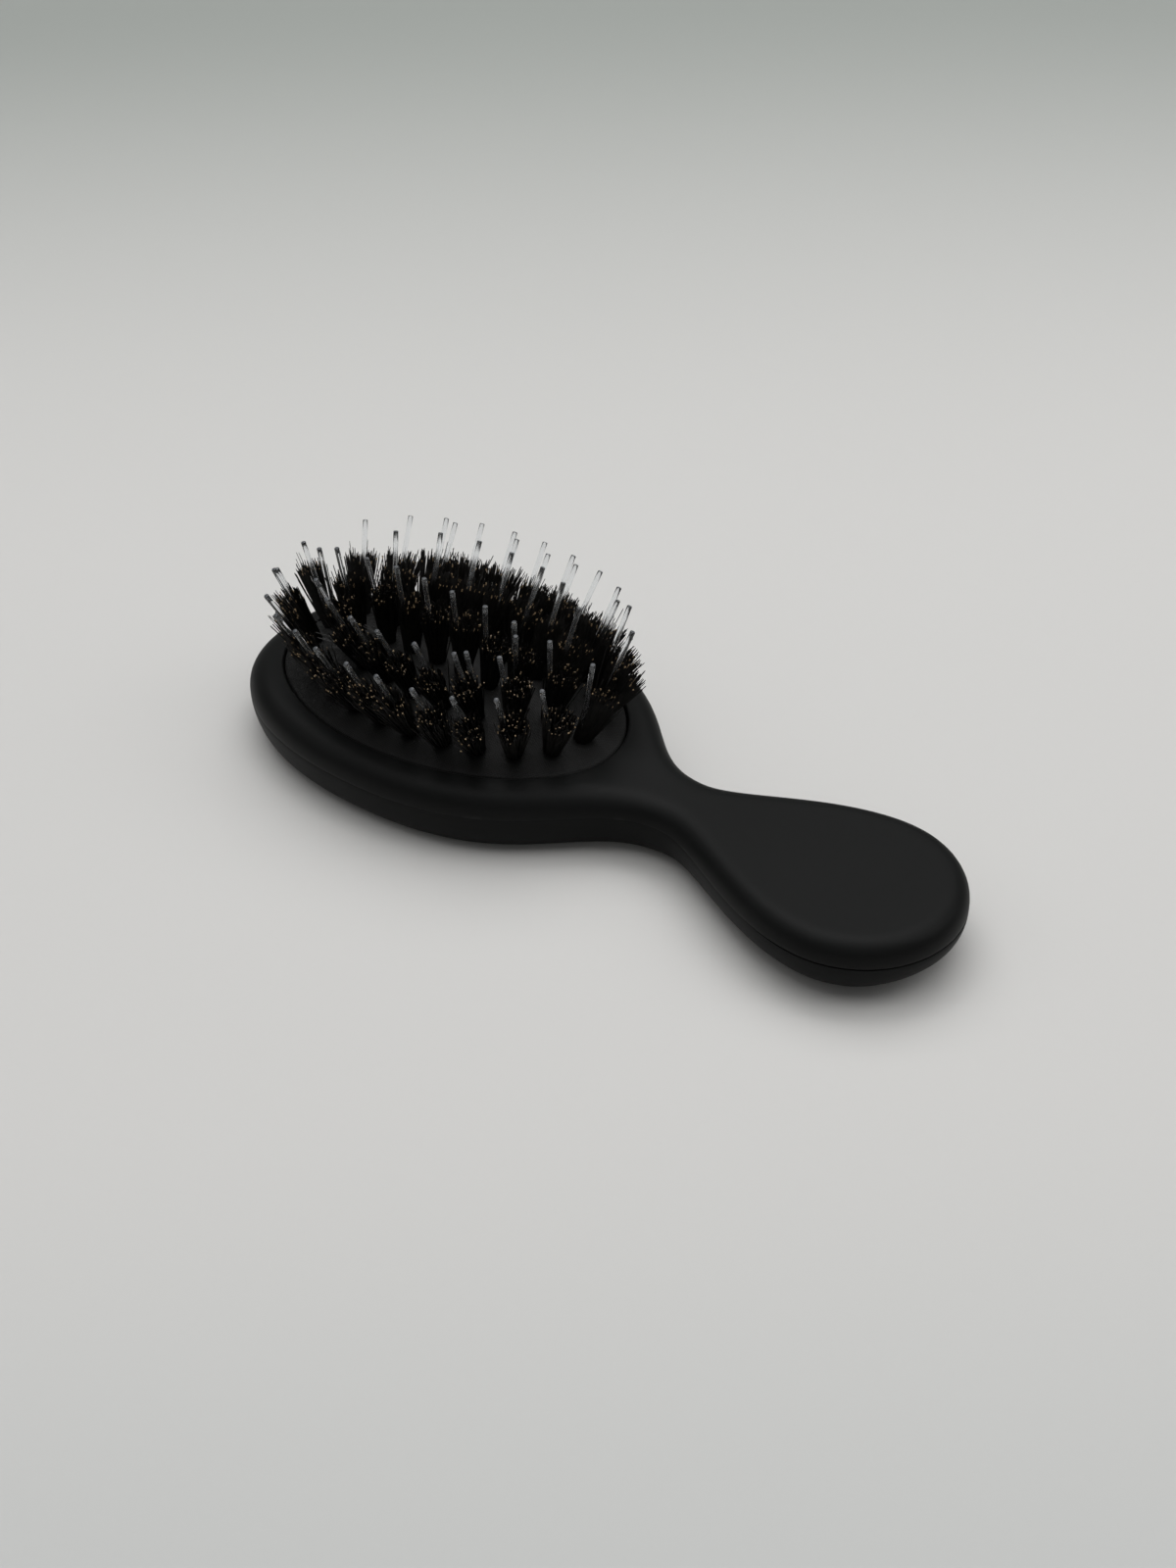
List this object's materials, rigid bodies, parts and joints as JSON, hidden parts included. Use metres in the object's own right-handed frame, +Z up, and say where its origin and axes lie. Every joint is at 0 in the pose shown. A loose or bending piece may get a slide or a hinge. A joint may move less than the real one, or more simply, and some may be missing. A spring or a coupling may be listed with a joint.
{
  "type": "hair extension brush",
  "caption": "Pocket paddle hair brush: oval air cushion with boar tufts and long clear pins in a waisted black body.",
  "frame": {"origin": "under the middle of the outline, on the surface the brush lies on", "axes": "+X along the brush towards the handle's end, +Y across it, +Z up through the bristles"},
  "size_m": [0.14, 0.0554, 0.0331],
  "materials": {
    "soft_touch_body": "matt soft-touch black",
    "inner_plastic": "moulded black",
    "cushion_rubber": "finely textured dark grey",
    "boar_bristle": "black bristle with golden-brown tips",
    "clear_nylon": "clear"
  },
  "bodies": {
    "body": {"front_shell": "soft_touch_body", "back_shell": "soft_touch_body", "cushion_backing_plate": "inner_plastic"},
    "cushion": {"cushion_pad": "cushion_rubber", "boar_bristles": "boar_bristle", "nylon_pin_01": "clear_nylon", "nylon_pin_02": "clear_nylon", "nylon_pin_03": "clear_nylon", "nylon_pin_04": "clear_nylon", "nylon_pin_05": "clear_nylon", "nylon_pin_06": "clear_nylon", "nylon_pin_07": "clear_nylon", "nylon_pin_08": "clear_nylon", "nylon_pin_09": "clear_nylon", "nylon_pin_10": "clear_nylon", "nylon_pin_11": "clear_nylon", "nylon_pin_12": "clear_nylon", "nylon_pin_13": "clear_nylon", "nylon_pin_14": "clear_nylon", "nylon_pin_15": "clear_nylon", "nylon_pin_16": "clear_nylon", "nylon_pin_17": "clear_nylon", "nylon_pin_18": "clear_nylon", "nylon_pin_19": "clear_nylon", "nylon_pin_20": "clear_nylon", "nylon_pin_21": "clear_nylon", "nylon_pin_22": "clear_nylon", "nylon_pin_23": "clear_nylon", "nylon_pin_24": "clear_nylon", "nylon_pin_25": "clear_nylon", "nylon_pin_26": "clear_nylon", "nylon_pin_27": "clear_nylon", "nylon_pin_28": "clear_nylon", "nylon_pin_29": "clear_nylon", "nylon_pin_30": "clear_nylon", "nylon_pin_31": "clear_nylon", "nylon_pin_32": "clear_nylon", "nylon_pin_33": "clear_nylon", "nylon_pin_34": "clear_nylon", "nylon_pin_35": "clear_nylon", "nylon_pin_36": "clear_nylon", "nylon_pin_37": "clear_nylon", "nylon_pin_38": "clear_nylon", "nylon_pin_39": "clear_nylon", "nylon_pin_40": "clear_nylon", "nylon_pin_41": "clear_nylon", "nylon_pin_42": "clear_nylon", "nylon_pin_43": "clear_nylon", "nylon_pin_44": "clear_nylon", "nylon_pin_45": "clear_nylon", "nylon_pin_46": "clear_nylon"}
  },
  "joints": [
    {"name": "cushion_press", "type": "slide", "parent": "body", "child": "cushion", "axis": [0, 0, -1], "range_m": [0, 0.0025], "stiffness_N_per_m": 2500, "deforming": ["cushion_pad"]}
  ]
}
